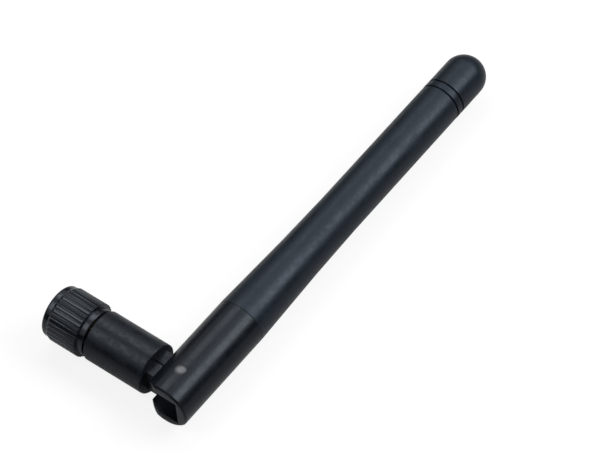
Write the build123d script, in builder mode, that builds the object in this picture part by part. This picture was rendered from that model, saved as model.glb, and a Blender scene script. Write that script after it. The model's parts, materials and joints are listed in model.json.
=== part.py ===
"""Swivel dipole antenna with a reverse-polarity SMA plug: an assembly of separate pieces.

Frame: millimetres, +Z up, lying as on a table. The origin is on the connector's axis where the
coupling nut's thread begins. +Y points out of the nut's mouth, towards the socket it screws onto.
The blade is bent 90 degrees at its hinge and points along +X. The hinge pins lie along Z.
"""

import os
from math import cos, pi, radians, sin

from build123d import *

os.makedirs("parts", exist_ok=True)

# ---------------------------------------------------------------- general fits
running_gap = 0.06              # radial, between pieces that turn on each other
axial_play = 0.10               # endwise, between pieces that turn on each other
moulding_gap = 0.01             # line between pieces that are pressed or moulded together
glue_gap = 0.02                 # line between pieces that are glued together

# ---------------------------------------------------------------- coupling nut
thread_radius = 2.84            # bore of a 1/4-36 thread, measured to its crests
thread_length = 3.20
thread_lead_in = 0.25           # chamfer in front of the thread
chamber_undercut = 0.18         # the chamber behind the thread is this much wider
chamber_gap = 0.14              # round what stands in the chamber
nut_across_flats = 7.20
nut_tail_length = 1.50          # bearing length behind the chamber

# ---------------------------------------------------------------- grip over the nut
rim_before_thread = 0.40        # the mouth stands this far in front of the first thread
grip_lip = 0.15                 # the mouth covers this much of the nut's flats
grip_back_lip = 0.28            # behind the nut
grip_wall = 0.39                # over the nut's turned-off corners
grip_rim_radius = 4.75
grip_rim_round = 0.50
grip_rim_length = 1.20
knurl_radius = 5.00
knurl_chamfer = 0.40
knurl_grooves = 36
knurl_turn = -3.4               # degrees, from the X axis to the first groove
knurl_groove_radius = 0.24
knurl_groove_depth = 0.23
collar_radius = 4.35
collar_length = 1.20
collar_edge_round = 0.20

# ---------------------------------------------------------------- connector body
face_behind_thread = 0.50       # from the thread's end to the mating face
front_sleeve_radius = 2.28
front_sleeve_wall = 0.23
front_sleeve_length = 0.90
front_flange_length = 1.05
ring_groove_width = 0.60
ring_groove_cut = 0.25
neck_radius = 2.55
swivel_flange_gap = 0.35        # round the flange, inside the barrel
swivel_flange_thickness = 0.70
post_radius = 1.25
post_length = 2.90
solder_room_radius = 1.20
solder_room_length = 1.30

# ---------------------------------------------------------------- pieces on the connector body
insulator_length = 3.80
contact_radius = 0.635
contact_recess = 0.05           # behind the insulator's face
contact_socket_radius = 0.475
contact_socket_length = 2.60
contact_slot_width = 0.16
contact_slot_length = 2.00
contact_cup_length = 0.80
solder_gap = 0.02
ring_end_play = 0.05
ring_mouth = 1.60               # opening of the C-shaped ring
gasket_inner_gap = 0.03
gasket_thickness = 0.50
ferrule_wall = 0.34
ferrule_from_flange = 0.90
ferrule_tail = 1.80             # stretch crimped on the cable behind the post

# ---------------------------------------------------------------- base barrel and its swivel
nut_gap = 0.45                  # between the grip's collar and the barrel
barrel_radius = 4.60
barrel_length = 11.99
barrel_front_round = 0.25
barrel_end_round = 0.32
swivel_wall = 1.05
bush_recess = 0.20              # from the barrel's front face to the bush
bush_thickness = 0.80
washer_thickness = 0.40
washer_gap = 0.25
washer_hole_gap = 0.10
ferrule_room_gap = 0.40
ferrule_room_end_gap = 1.00

# ---------------------------------------------------------------- hinge
tang_width = 5.28               # across the swing, and twice its round head
tang_thickness = 5.20           # along the pins
tang_groove_width = 0.40
tang_groove_depth = 0.25
tang_groove_length = 2.10
fork_radius = 4.60
bent_gap = 0.80                 # bent: from the fork's side to the barrel's end
straight_gap = 0.45             # straight: from the fork's end to the barrel's end
ear_gap = 0.20                  # between the ears' rounded corners and the barrel's end
fork_end_chamfer = 0.30
slot_side_gap = 0.05            # each side of the tang, along the pins
slot_swing_gap = 0.08           # round the tang, across the pins
pin_radius = 0.98
pin_running_gap = 0.04
pin_inner_gap = 0.15            # from the cable's slot to a pin's inner end
pin_crown_slope = 12.0          # degrees, at the dome's edge
pin_crown_proud = 0.06          # above the fork's crest

# ---------------------------------------------------------------- cable
cable_radius = 0.685
cable_channel_gap = 0.165
cable_bend_radius = 2.90
core_radius = 0.25
crimp_gap = 0.015

# ---------------------------------------------------------------- blade
seam_from_pivot = 15.45
seam_wall = 1.20                # the radome's wall over the fork's spigot
spigot_length = 4.20
fork_bore_radius = 2.20
fork_bore_from_pivot = 8.00
taper_land = 0.50
taper_length = 21.20            # from the land to where the straight taper meets the tube
taper_blend_radius = 330.0
tube_radius = 3.90
tube_wall = 0.90
cap_length = 11.25
cap_proud = 0.02
cap_spigot_length = 2.40
cap_spigot_wall = 0.78
cap_crown_thickness = 2.40
ring_line_width = 0.33
ring_line_depth = 0.32
ring_line_pitch = 1.53          # from the seam's groove to the groove above it

# ---------------------------------------------------------------- radiator
sleeve_from_spigot = 1.00
dipole_sleeve_length = 24.0
sleeve_to_tube = 0.60           # radial, filled by the foam spacer
dipole_sleeve_wall = 0.25
bead_length = 2.00
spacer_from_sleeve_start = 1.50
spacer_length = 2.00
cable_past_sleeve = 0.50
whip_radius = 0.45
whip_length = 24.0
heat_shrink_wall = 0.30
heat_shrink_length = 5.50
tip_spacer_length = 2.50
tip_spacer_from_whip_end = 1.00
whip_to_cap = 0.80              # from the whip's end to the cap's spigot

# ---------------------------------------------------------------- depths behind the origin, along -Y
rim_front = -rim_before_thread
rim_end = rim_front + grip_rim_length
nut_front = -thread_lead_in
mating_face = thread_length + face_behind_thread
front_flange = mating_face + front_sleeve_length
ring_groove = front_flange + front_flange_length
ring_groove_end = ring_groove + ring_groove_width
ring_front = ring_groove + ring_end_play
ring_back = ring_groove_end - ring_end_play
nut_shoulder = ring_back + axial_play
nut_end = nut_shoulder + nut_tail_length
collar_end = nut_end + grip_back_lip
knurl_end = collar_end - collar_length
barrel_front = collar_end + nut_gap
barrel_end = barrel_front + barrel_length
pivot_depth = barrel_end + bent_gap + fork_radius
insulator_end = mating_face + insulator_length
solder_room_end = insulator_end + solder_room_length
contact_front = mating_face + contact_recess
contact_end = insulator_end + contact_cup_length
bush_front = barrel_front + bush_recess
bush_back = bush_front + bush_thickness
flange_front = bush_back + axial_play
flange_back = flange_front + swivel_flange_thickness
post_end = flange_back + post_length
washer_front = flange_back + axial_play
barrel_shoulder = washer_front + washer_thickness
ferrule_front = flange_back + ferrule_from_flange
ferrule_end = post_end + ferrule_tail
ferrule_room_end = ferrule_end + ferrule_room_end_gap
cable_bend_start = pivot_depth - cable_bend_radius

# ---------------------------------------------------------------- stations along the blade, from the pivot
barrel_end_to_pivot = pivot_depth - barrel_end
fork_end = straight_gap - barrel_end_to_pivot
spigot_end = seam_from_pivot + spigot_length
taper_start = seam_from_pivot + taper_land
sleeve_start = spigot_end + sleeve_from_spigot
sleeve_end = sleeve_start + dipole_sleeve_length
spacer_start = sleeve_start + spacer_from_sleeve_start
whip_start = sleeve_end + cable_past_sleeve
whip_end = whip_start + whip_length
shrink_end = sleeve_end + heat_shrink_length
tip_spacer_end = whip_end - tip_spacer_from_whip_end
cap_start = whip_end + whip_to_cap + cap_spigot_length
crown = cap_start + cap_length
cap_radius = tube_radius + cap_proud
dome_centre = crown - cap_radius
upper_line = cap_start + ring_line_pitch

# ---------------------------------------------------------------- radii and half widths that follow
chamber_radius = thread_radius + chamber_undercut
in_chamber_radius = chamber_radius - chamber_gap
nut_corner_radius = collar_radius - grip_wall
grip_mouth_radius = nut_across_flats / 2 - grip_lip
nut_bearing_radius = neck_radius + running_gap
ring_groove_radius = neck_radius - ring_groove_cut
insulator_radius = front_sleeve_radius - front_sleeve_wall
swivel_bore_radius = barrel_radius - swivel_wall
swivel_flange_radius = swivel_bore_radius - swivel_flange_gap
cable_hole_radius = cable_radius + crimp_gap
cable_channel_radius = cable_radius + cable_channel_gap
ferrule_inner_radius = post_radius + crimp_gap
ferrule_radius = ferrule_inner_radius + ferrule_wall
ferrule_room_radius = ferrule_radius + ferrule_room_gap
tang_half = tang_width / 2
slot_half = tang_thickness / 2 + slot_side_gap
swing_half = tang_half + slot_swing_gap
ear_swing_radius = barrel_end_to_pivot - ear_gap
pin_inner_end = cable_channel_radius + pin_inner_gap
spigot_radius = fork_radius - seam_wall - glue_gap
tube_bore_radius = tube_radius - tube_wall
cap_spigot_radius = tube_bore_radius - glue_gap
cap_bore_radius = cap_spigot_radius - cap_spigot_wall
dipole_sleeve_radius = tube_bore_radius - sleeve_to_tube
line_floor = cap_radius - ring_line_depth
sleeve_inner_radius = dipole_sleeve_radius - dipole_sleeve_wall

# ---------------------------------------------------------------- planes and axes
pivot = Vector(0, -pivot_depth, 0)
turning_plane = Plane(origin=(0, 0, 0), x_dir=(1, 0, 0), z_dir=(0, 0, -1))
blade_plane = Plane(origin=pivot, x_dir=(1, 0, 0), z_dir=(0, 0, 1))
blade_axis = Axis(pivot, (1, 0, 0))
pin_axis = Axis(pivot, (0, 0, 1))
past_everything = 4 * fork_radius


def depth_plane(depth):
    """A plane across the connector's axis, facing into the antenna."""
    return Plane.XZ.offset(depth)


def turn_about_connector(corners, mode=Mode.ADD):
    """Turn a closed outline of (radius, depth) corners about the connector's axis."""
    with BuildSketch(turning_plane) as outline:
        with BuildLine():
            Polyline(*corners, close=True)
        make_face()
    revolve(outline.sketch, axis=Axis.Y, mode=mode)


def turn_about_blade(corners, mode=Mode.ADD):
    """Turn a closed outline of (station, radius) corners about the blade's axis."""
    with BuildSketch(blade_plane) as outline:
        with BuildLine():
            Polyline(*corners, close=True)
        make_face()
    revolve(outline.sketch, axis=blade_axis, mode=mode)


def ring(inner, outer, front, back):
    """The (radius, depth) corners of a plain ring on the connector's axis."""
    return [(inner, front), (outer, front), (outer, back), (inner, back)]


def tube(inner, outer, start, end):
    """The (station, radius) corners of a plain tube on the blade's axis."""
    return [(start, inner), (end, inner), (end, outer), (start, outer)]


# ================================================================ connector body
with BuildPart() as connector_body:
    turn_about_connector([
        (insulator_radius, mating_face),
        (front_sleeve_radius, mating_face),
        (front_sleeve_radius, front_flange),
        (in_chamber_radius, front_flange),
        (in_chamber_radius, ring_groove),
        (ring_groove_radius, ring_groove),
        (ring_groove_radius, ring_groove_end),
        (neck_radius, ring_groove_end),
        (neck_radius, flange_front),
        (swivel_flange_radius, flange_front),
        (swivel_flange_radius, flange_back),
        (post_radius, flange_back),
        (post_radius, post_end),
        (cable_hole_radius, post_end),
        (cable_hole_radius, solder_room_end),
        (solder_room_radius, solder_room_end),
        (solder_room_radius, insulator_end),
        (insulator_radius, insulator_end),
    ])
connector_body.part.label = "connector_body"
export_step(connector_body.part, "parts/connector_body.step")

# ================================================================ insulator and centre contact
with BuildPart() as contact_insulator:
    turn_about_connector(ring(contact_radius, insulator_radius, mating_face, insulator_end))
contact_insulator.part.label = "contact_insulator"
export_step(contact_insulator.part, "parts/contact_insulator.step")

with BuildPart() as centre_contact:
    turn_about_connector(ring(0, contact_radius, contact_front, contact_end))
    turn_about_connector(
        ring(0, contact_socket_radius, contact_front, contact_front + contact_socket_length),
        mode=Mode.SUBTRACT,
    )
    turn_about_connector(
        ring(0, core_radius + solder_gap, insulator_end, contact_end),
        mode=Mode.SUBTRACT,
    )
    with BuildSketch(depth_plane(contact_front)):
        Rectangle(2 * contact_radius, contact_slot_width)
        Rectangle(contact_slot_width, 2 * contact_radius)
    extrude(amount=contact_slot_length, mode=Mode.SUBTRACT)
centre_contact.part.label = "centre_contact"
export_step(centre_contact.part, "parts/centre_contact.step")

with BuildPart() as coax_core:
    turn_about_connector(ring(0, core_radius, insulator_end, solder_room_end))
coax_core.part.label = "coax_core"
export_step(coax_core.part, "parts/coax_core.step")

# ================================================================ snap ring, gasket and ferrule
with BuildPart() as nut_snap_ring:
    turn_about_connector(
        ring(ring_groove_radius + moulding_gap, in_chamber_radius, ring_front, ring_back)
    )
    with BuildSketch(depth_plane(ring_front)):
        with Locations((0, -in_chamber_radius)):
            Rectangle(ring_mouth, 2 * ring_groove_radius)
    extrude(amount=ring_back - ring_front, mode=Mode.SUBTRACT)
nut_snap_ring.part.label = "nut_snap_ring"
export_step(nut_snap_ring.part, "parts/nut_snap_ring.step")

with BuildPart() as sealing_gasket:
    turn_about_connector(ring(
        front_sleeve_radius + gasket_inner_gap,
        in_chamber_radius,
        front_flange - gasket_thickness,
        front_flange,
    ))
sealing_gasket.part.label = "sealing_gasket"
export_step(sealing_gasket.part, "parts/sealing_gasket.step")

with BuildPart() as crimp_ferrule:
    turn_about_connector([
        (ferrule_inner_radius, ferrule_front),
        (ferrule_radius, ferrule_front),
        (ferrule_radius, post_end + moulding_gap),
        (cable_hole_radius + ferrule_wall, post_end + ferrule_wall),
        (cable_hole_radius + ferrule_wall, ferrule_end),
        (cable_hole_radius, ferrule_end),
        (cable_hole_radius, post_end + moulding_gap),
        (ferrule_inner_radius, post_end + moulding_gap),
    ])
crimp_ferrule.part.label = "crimp_ferrule"
export_step(crimp_ferrule.part, "parts/crimp_ferrule.step")

# ================================================================ coupling nut
with BuildPart() as coupling_nut:
    with BuildSketch(depth_plane(nut_front)):
        RegularPolygon(nut_across_flats / 2, 6, major_radius=False)
        Circle(nut_corner_radius, mode=Mode.INTERSECT)
    extrude(amount=nut_end - nut_front)
    turn_about_connector(
        [
            (0, nut_front),
            (thread_radius + thread_lead_in, nut_front),
            (thread_radius, 0),
            (thread_radius, thread_length),
            (chamber_radius, thread_length),
            (chamber_radius, nut_shoulder),
            (nut_bearing_radius, nut_shoulder),
            (nut_bearing_radius, nut_end),
            (0, nut_end),
        ],
        mode=Mode.SUBTRACT,
    )
coupling_nut.part.label = "coupling_nut"
export_step(coupling_nut.part, "parts/coupling_nut.step")

# ================================================================ grip over the nut
with BuildPart() as nut_grip:
    turn_about_connector([
        (0, rim_front),
        (grip_rim_radius, rim_front),
        (grip_rim_radius, rim_end),
        (knurl_radius, rim_end + knurl_chamfer),
        (knurl_radius, knurl_end),
        (collar_radius, knurl_end),
        (collar_radius, collar_end),
        (0, collar_end),
    ])
    rim_edge = edges().filter_by(GeomType.CIRCLE).sort_by(Axis.Y)[-1]
    fillet(rim_edge, radius=grip_rim_round)
    collar_edge = edges().filter_by(GeomType.CIRCLE).sort_by(Axis.Y)[0]
    fillet(collar_edge, radius=collar_edge_round)
    # Round-bottomed grooves leave the straight ridges of the knurl.
    with BuildSketch(depth_plane(rim_end)):
        groove_centre = knurl_radius + knurl_groove_radius - knurl_groove_depth
        with PolarLocations(groove_centre, knurl_grooves, start_angle=knurl_turn):
            Circle(knurl_groove_radius)
    extrude(amount=knurl_end - rim_end, mode=Mode.SUBTRACT)
    # The nut's hexagonal seat, the open mouth in front of it and the hole behind it.
    with BuildSketch(depth_plane(nut_front)):
        RegularPolygon(nut_across_flats / 2 + moulding_gap, 6, major_radius=False)
        Circle(nut_corner_radius + moulding_gap, mode=Mode.INTERSECT)
    extrude(amount=nut_end - nut_front, mode=Mode.SUBTRACT)
    turn_about_connector(ring(0, grip_mouth_radius, rim_front, nut_front), mode=Mode.SUBTRACT)
    turn_about_connector(ring(0, nut_bearing_radius, nut_end, collar_end), mode=Mode.SUBTRACT)
nut_grip.part.label = "nut_grip"
export_step(nut_grip.part, "parts/nut_grip.step")

# ================================================================ base barrel with its tang
with BuildPart() as base_barrel:
    turn_about_connector(ring(0, barrel_radius, barrel_front, barrel_end))
    front_edge = edges().filter_by(GeomType.CIRCLE).sort_by(Axis.Y)[-1]
    fillet(front_edge, radius=barrel_front_round)
    end_edge = edges().filter_by(GeomType.CIRCLE).sort_by(Axis.Y)[0]
    fillet(end_edge, radius=barrel_end_round)
    # The tang: a flat bar that ends in a round head about the pins' axis.
    with BuildSketch(blade_plane):
        Circle(tang_half)
        with Locations((0, barrel_end_to_pivot / 2)):
            Rectangle(tang_width, barrel_end_to_pivot)
    extrude(amount=tang_thickness / 2, both=True)
    # A shallow groove down the middle of each outer face of the tang, next to the barrel.
    with BuildSketch(depth_plane(barrel_end)):
        with Locations((0, tang_thickness / 2), (0, -tang_thickness / 2)):
            Rectangle(tang_groove_width, 2 * tang_groove_depth)
    extrude(amount=tang_groove_length, mode=Mode.SUBTRACT)
    # Swivel seat, room for the ferrule and the cable's channel.
    turn_about_connector(
        [
            (0, barrel_front),
            (swivel_bore_radius, barrel_front),
            (swivel_bore_radius, barrel_shoulder),
            (ferrule_room_radius, barrel_shoulder),
            (ferrule_room_radius, ferrule_room_end),
            (cable_channel_radius, ferrule_room_end),
            (cable_channel_radius, pivot_depth),
            (0, pivot_depth),
        ],
        mode=Mode.SUBTRACT,
    )
    # The cable's slot is open on the swing side and at the head, so it stays clear while bending.
    with BuildSketch(blade_plane):
        with Locations((-cable_channel_radius, cable_bend_radius + cable_channel_radius)):
            Rectangle(tang_width, 2 * tang_width, align=(Align.MIN, Align.MAX))
    extrude(amount=cable_channel_radius, both=True, mode=Mode.SUBTRACT)
    # Holes that run on the two stub pins.
    with BuildSketch(blade_plane):
        Circle(pin_radius + pin_running_gap)
    extrude(amount=tang_thickness / 2, both=True, mode=Mode.SUBTRACT)
base_barrel.part.label = "base_barrel"
export_step(base_barrel.part, "parts/base_barrel.step")

# ================================================================ swivel bush and friction washer
with BuildPart() as swivel_bush:
    turn_about_connector(ring(
        nut_bearing_radius, swivel_bore_radius - moulding_gap, bush_front, bush_back
    ))
swivel_bush.part.label = "swivel_bush"
export_step(swivel_bush.part, "parts/swivel_bush.step")

with BuildPart() as friction_washer:
    turn_about_connector(ring(
        ferrule_radius + washer_hole_gap, swivel_bore_radius - washer_gap,
        washer_front, barrel_shoulder,
    ))
friction_washer.part.label = "friction_washer"
export_step(friction_washer.part, "parts/friction_washer.step")

# ================================================================ hinge fork
with BuildPart() as hinge_fork:
    turn_about_blade(tube(0, fork_radius, fork_end, seam_from_pivot))
    fork_end_edge = edges().filter_by(GeomType.CIRCLE).sort_by(Axis.X)[0]
    chamfer(fork_end_edge, length=fork_end_chamfer)
    turn_about_blade(tube(0, spigot_radius, seam_from_pivot, spigot_end))
    # The slot clears the tang through the whole swing and keeps a closed back wall.
    with BuildSketch(blade_plane):
        Circle(swing_half)
        Rectangle(past_everything, 2 * swing_half, align=(Align.MAX, Align.CENTER))
        Rectangle(2 * swing_half, past_everything, align=(Align.CENTER, Align.MIN))
        Rectangle(past_everything, past_everything, align=(Align.MAX, Align.MIN))
    extrude(amount=slot_half, both=True, mode=Mode.SUBTRACT)
    # The ears' free corners are rounded about the pins, so they swing past the barrel's end.
    with BuildSketch(blade_plane):
        Rectangle(past_everything, past_everything, align=(Align.MAX, Align.MIN))
        Circle(ear_swing_radius, mode=Mode.SUBTRACT)
    extrude(amount=past_everything, both=True, mode=Mode.SUBTRACT)
    # Holes that hold the stub pins, and the cable's way into the blade.
    with BuildSketch(blade_plane):
        Circle(pin_radius + moulding_gap)
    extrude(amount=past_everything, both=True, mode=Mode.SUBTRACT)
    turn_about_blade(tube(0, cable_channel_radius, 0, spigot_end), mode=Mode.SUBTRACT)
    turn_about_blade(
        tube(0, fork_bore_radius, fork_bore_from_pivot, spigot_end), mode=Mode.SUBTRACT
    )
hinge_fork.part.label = "hinge_fork"
export_step(hinge_fork.part, "parts/hinge_fork.step")

# ================================================================ stub pins
crown_sphere_radius = pin_radius / sin(radians(pin_crown_slope))
crown_height = crown_sphere_radius * (1 - cos(radians(pin_crown_slope)))
crown_top = fork_radius + pin_crown_proud
crown_edge = crown_top - crown_height
crown_middle = (
    crown_sphere_radius * sin(radians(pin_crown_slope / 2)),
    crown_top - crown_sphere_radius * (1 - cos(radians(pin_crown_slope / 2))),
)


def stub_pin(side):
    """A pin with a domed outer end; side is +1 for the upper ear and -1 for the lower."""
    with BuildPart() as pin:
        with BuildSketch(Plane(origin=pivot, x_dir=(1, 0, 0), z_dir=(0, -side, 0))) as outline:
            with BuildLine():
                Polyline(
                    (0, crown_top), (0, pin_inner_end),
                    (pin_radius, pin_inner_end), (pin_radius, crown_edge),
                )
                ThreePointArc((pin_radius, crown_edge), crown_middle, (0, crown_top))
            make_face()
        revolve(outline.sketch, axis=pin_axis)
    return pin


hinge_pin_upper = stub_pin(1)
hinge_pin_upper.part.label = "hinge_pin_upper"
export_step(hinge_pin_upper.part, "parts/hinge_pin_upper.step")

hinge_pin_lower = stub_pin(-1)
hinge_pin_lower.part.label = "hinge_pin_lower"
export_step(hinge_pin_lower.part, "parts/hinge_pin_lower.step")

# ================================================================ cable, in three stretches
with BuildPart() as coax_base:
    turn_about_connector(ring(0, cable_radius, solder_room_end, cable_bend_start))
coax_base.part.label = "coax_base"
export_step(coax_base.part, "parts/coax_base.step")

with BuildPart() as coax_hinge:
    with BuildLine(blade_plane) as hinge_route:
        RadiusArc(
            (0, cable_bend_radius), (cable_bend_radius, 0), -cable_bend_radius
        )
    with BuildSketch(Plane(origin=hinge_route.line @ 0, z_dir=hinge_route.line % 0)):
        Circle(cable_radius)
    sweep()
coax_hinge.part.label = "coax_hinge"
export_step(coax_hinge.part, "parts/coax_hinge.step")

with BuildPart() as coax_blade:
    turn_about_blade(tube(0, cable_radius, cable_bend_radius, whip_start))
coax_blade.part.label = "coax_blade"
export_step(coax_blade.part, "parts/coax_blade.step")

# ================================================================ radome tube
with BuildPart() as radome_tube:
    with BuildSketch(blade_plane) as tube_half:
        with BuildLine():
            taper = FilletPolyline(
                (taper_start, fork_radius),
                (taper_start + taper_length, tube_radius),
                (cap_start, tube_radius),
                radius=taper_blend_radius,
            )
            Polyline(
                taper @ 1,
                (cap_start, tube_bore_radius),
                (spigot_end + glue_gap, tube_bore_radius),
                (spigot_end + glue_gap, spigot_radius + glue_gap),
                (seam_from_pivot, spigot_radius + glue_gap),
                (seam_from_pivot, fork_radius),
                taper @ 0,
            )
        make_face()
    revolve(tube_half.sketch, axis=blade_axis)
radome_tube.part.label = "radome_tube"
export_step(radome_tube.part, "parts/radome_tube.step")

# ================================================================ tip cap
with BuildPart() as tip_cap:
    with BuildSketch(blade_plane) as cap_half:
        with BuildLine():
            Polyline(
                (crown, 0),
                (crown - cap_crown_thickness, 0),
                (crown - cap_crown_thickness, cap_bore_radius),
                (cap_start - cap_spigot_length, cap_bore_radius),
                (cap_start - cap_spigot_length, cap_spigot_radius),
                (cap_start, cap_spigot_radius),
                (cap_start, line_floor),
                (cap_start + ring_line_width, line_floor),
                (cap_start + ring_line_width, cap_radius),
                (dome_centre, cap_radius),
            )
            RadiusArc((dome_centre, cap_radius), (crown, 0), cap_radius)
        make_face()
    revolve(cap_half.sketch, axis=blade_axis)
    turn_about_blade(
        tube(line_floor, past_everything, upper_line, upper_line + ring_line_width),
        mode=Mode.SUBTRACT,
    )
tip_cap.part.label = "tip_cap"
export_step(tip_cap.part, "parts/tip_cap.step")

# ================================================================ radiator in the blade
with BuildPart() as dipole_sleeve:
    turn_about_blade([
        (sleeve_start, sleeve_inner_radius),
        (sleeve_end - dipole_sleeve_wall, sleeve_inner_radius),
        (sleeve_end - dipole_sleeve_wall, cable_hole_radius),
        (sleeve_end, cable_hole_radius),
        (sleeve_end, dipole_sleeve_radius),
        (sleeve_start, dipole_sleeve_radius),
    ])
dipole_sleeve.part.label = "dipole_sleeve"
export_step(dipole_sleeve.part, "parts/dipole_sleeve.step")

with BuildPart() as sleeve_bead:
    turn_about_blade(tube(
        cable_hole_radius, sleeve_inner_radius - moulding_gap,
        sleeve_start, sleeve_start + bead_length,
    ))
sleeve_bead.part.label = "sleeve_bead"
export_step(sleeve_bead.part, "parts/sleeve_bead.step")

with BuildPart() as sleeve_spacer:
    turn_about_blade(tube(
        dipole_sleeve_radius + moulding_gap, tube_bore_radius - moulding_gap,
        spacer_start, spacer_start + spacer_length,
    ))
sleeve_spacer.part.label = "sleeve_spacer"
export_step(sleeve_spacer.part, "parts/sleeve_spacer.step")

with BuildPart() as whip_radiator:
    turn_about_blade(tube(0, whip_radius, whip_start, whip_end))
whip_radiator.part.label = "whip_radiator"
export_step(whip_radiator.part, "parts/whip_radiator.step")

with BuildPart() as feed_heat_shrink:
    turn_about_blade([
        (sleeve_end, cable_hole_radius),
        (whip_start, cable_hole_radius),
        (whip_start, whip_radius + moulding_gap),
        (shrink_end, whip_radius + moulding_gap),
        (shrink_end, whip_radius + heat_shrink_wall),
        (whip_start + heat_shrink_wall, whip_radius + heat_shrink_wall),
        (whip_start, cable_hole_radius + heat_shrink_wall),
        (sleeve_end, cable_hole_radius + heat_shrink_wall),
    ])
feed_heat_shrink.part.label = "feed_heat_shrink"
export_step(feed_heat_shrink.part, "parts/feed_heat_shrink.step")

with BuildPart() as tip_spacer:
    turn_about_blade(tube(
        whip_radius + moulding_gap, tube_bore_radius - moulding_gap,
        tip_spacer_end - tip_spacer_length, tip_spacer_end,
    ))
tip_spacer.part.label = "tip_spacer"
export_step(tip_spacer.part, "parts/tip_spacer.step")

# ================================================================ cable check
cable_section = pi * cable_radius**2
for piece, length in [
    (coax_base, cable_bend_start - solder_room_end),
    (coax_hinge, cable_bend_radius * pi / 2),
    (coax_blade, whip_start - cable_bend_radius),
]:
    ratio = piece.part.volume / (cable_section * length)
    print(piece.part.label, "length", round(length, 2), "volume over section x length", round(ratio, 4))
print("cable bend radius", cable_bend_radius)
print("length straightened out", round(crown + pivot_depth - rim_front, 3))
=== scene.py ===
# %% [markdown]
# # A swivel dipole antenna with a screw-on plug
#
# The real object is the short "rubber duck" antenna of a wireless adapter: a black plastic blade,
# a hinge of a fork and a tang, a round base barrel that swivels, and a coupling nut with a
# knurled plastic grip. Its measured model is already made and packed, and this lesson gives it
# its looks: smooth turned surfaces, rounded rims, a real thread, and moulded plastics.
#
# We start by loading that measured model. Everything after it takes its place from there.

# %% Load the measured frame
from math import cos, pi, radians, sin

import bmesh
import bpy
from mathutils import Matrix, Vector
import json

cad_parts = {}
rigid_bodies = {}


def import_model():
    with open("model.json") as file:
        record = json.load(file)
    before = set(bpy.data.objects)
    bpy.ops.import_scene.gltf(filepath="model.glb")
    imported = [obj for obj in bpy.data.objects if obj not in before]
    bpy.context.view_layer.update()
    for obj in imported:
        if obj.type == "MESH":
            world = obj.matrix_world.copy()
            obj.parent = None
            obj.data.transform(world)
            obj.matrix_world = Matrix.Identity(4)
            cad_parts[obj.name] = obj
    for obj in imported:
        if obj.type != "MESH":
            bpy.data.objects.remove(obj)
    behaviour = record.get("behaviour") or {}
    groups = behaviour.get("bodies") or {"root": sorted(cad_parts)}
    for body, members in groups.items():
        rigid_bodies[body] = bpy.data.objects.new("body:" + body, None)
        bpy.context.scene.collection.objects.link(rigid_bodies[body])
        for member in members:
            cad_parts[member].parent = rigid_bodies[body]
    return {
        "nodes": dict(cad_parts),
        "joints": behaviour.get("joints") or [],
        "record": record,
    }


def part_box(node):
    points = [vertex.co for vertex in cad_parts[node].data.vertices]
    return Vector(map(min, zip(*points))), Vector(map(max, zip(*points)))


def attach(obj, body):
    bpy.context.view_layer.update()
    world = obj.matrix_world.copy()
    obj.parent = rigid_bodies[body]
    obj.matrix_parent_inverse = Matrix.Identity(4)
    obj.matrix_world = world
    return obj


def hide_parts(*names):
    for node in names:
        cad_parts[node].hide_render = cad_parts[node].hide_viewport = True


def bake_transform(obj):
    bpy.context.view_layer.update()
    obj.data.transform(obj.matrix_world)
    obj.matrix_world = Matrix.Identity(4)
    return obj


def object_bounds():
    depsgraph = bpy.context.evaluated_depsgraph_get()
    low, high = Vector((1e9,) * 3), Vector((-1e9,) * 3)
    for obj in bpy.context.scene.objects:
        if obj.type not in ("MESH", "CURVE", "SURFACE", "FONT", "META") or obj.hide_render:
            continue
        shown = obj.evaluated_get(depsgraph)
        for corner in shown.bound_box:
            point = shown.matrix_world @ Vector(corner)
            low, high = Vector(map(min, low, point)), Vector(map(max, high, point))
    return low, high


for leftover in list(bpy.data.objects):
    bpy.data.objects.remove(leftover)
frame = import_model()
cad_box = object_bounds()

# %% [markdown]
# The frame is in metres and this object is small, so the shapes are drawn in millimetres and
# scaled once, when a piece is finished. Two axes matter. The plug and the base barrel turn about
# the connector's axis, which runs back from the nut's mouth. The blade turns about its own axis,
# which starts at the hinge pins. The pins' place is read from the frame's hinge joint; the
# connector's axis is the frame's -Y axis through its origin.

# %% Millimetres, and the two turning axes
MM = 0.001


def extent(node):
    """Lowest and highest corner of a measured node, in millimetres."""
    low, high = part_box(node)
    return low / MM, high / MM


joints = {joint["name"]: joint for joint in frame["joints"]}
pivot = Vector(joints["blade_tilt"]["pos_m"]) / MM
PLUG = {"origin": Vector((0, 0, 0)), "along": Vector((0, -1, 0)), "out": Vector((1, 0, 0))}
BLADE = {"origin": pivot, "along": Vector((1, 0, 0)), "out": Vector((0, 1, 0))}
pivot_depth = -pivot.y
print("hinge pivot, mm:", [round(c, 3) for c in pivot])

# %% [markdown]
# ## Shader groups
#
# Moulded plastic is never one flat black. The mould leaves a fine grain, the gloss drifts from
# place to place, and a little dust and handling shows. Each of these is a small node group, built
# once and placed in every plastic with its own values. A group gives only colours, masks and
# heights.

# %% A helper that starts a node group
def new_group(name, inputs, outputs):
    """An empty shader node group with named sockets: {name: (socket type, default)}."""
    group = bpy.data.node_groups.new(name, "ShaderNodeTree")
    for label, (kind, default) in inputs.items():
        socket = group.interface.new_socket(label, in_out="INPUT", socket_type=kind)
        if default is not None:
            socket.default_value = default
    for label, kind in outputs.items():
        group.interface.new_socket(label, in_out="OUTPUT", socket_type=kind)
    entry = group.nodes.new("NodeGroupInput")
    leave = group.nodes.new("NodeGroupOutput")
    return group, entry.outputs, leave.inputs


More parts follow.
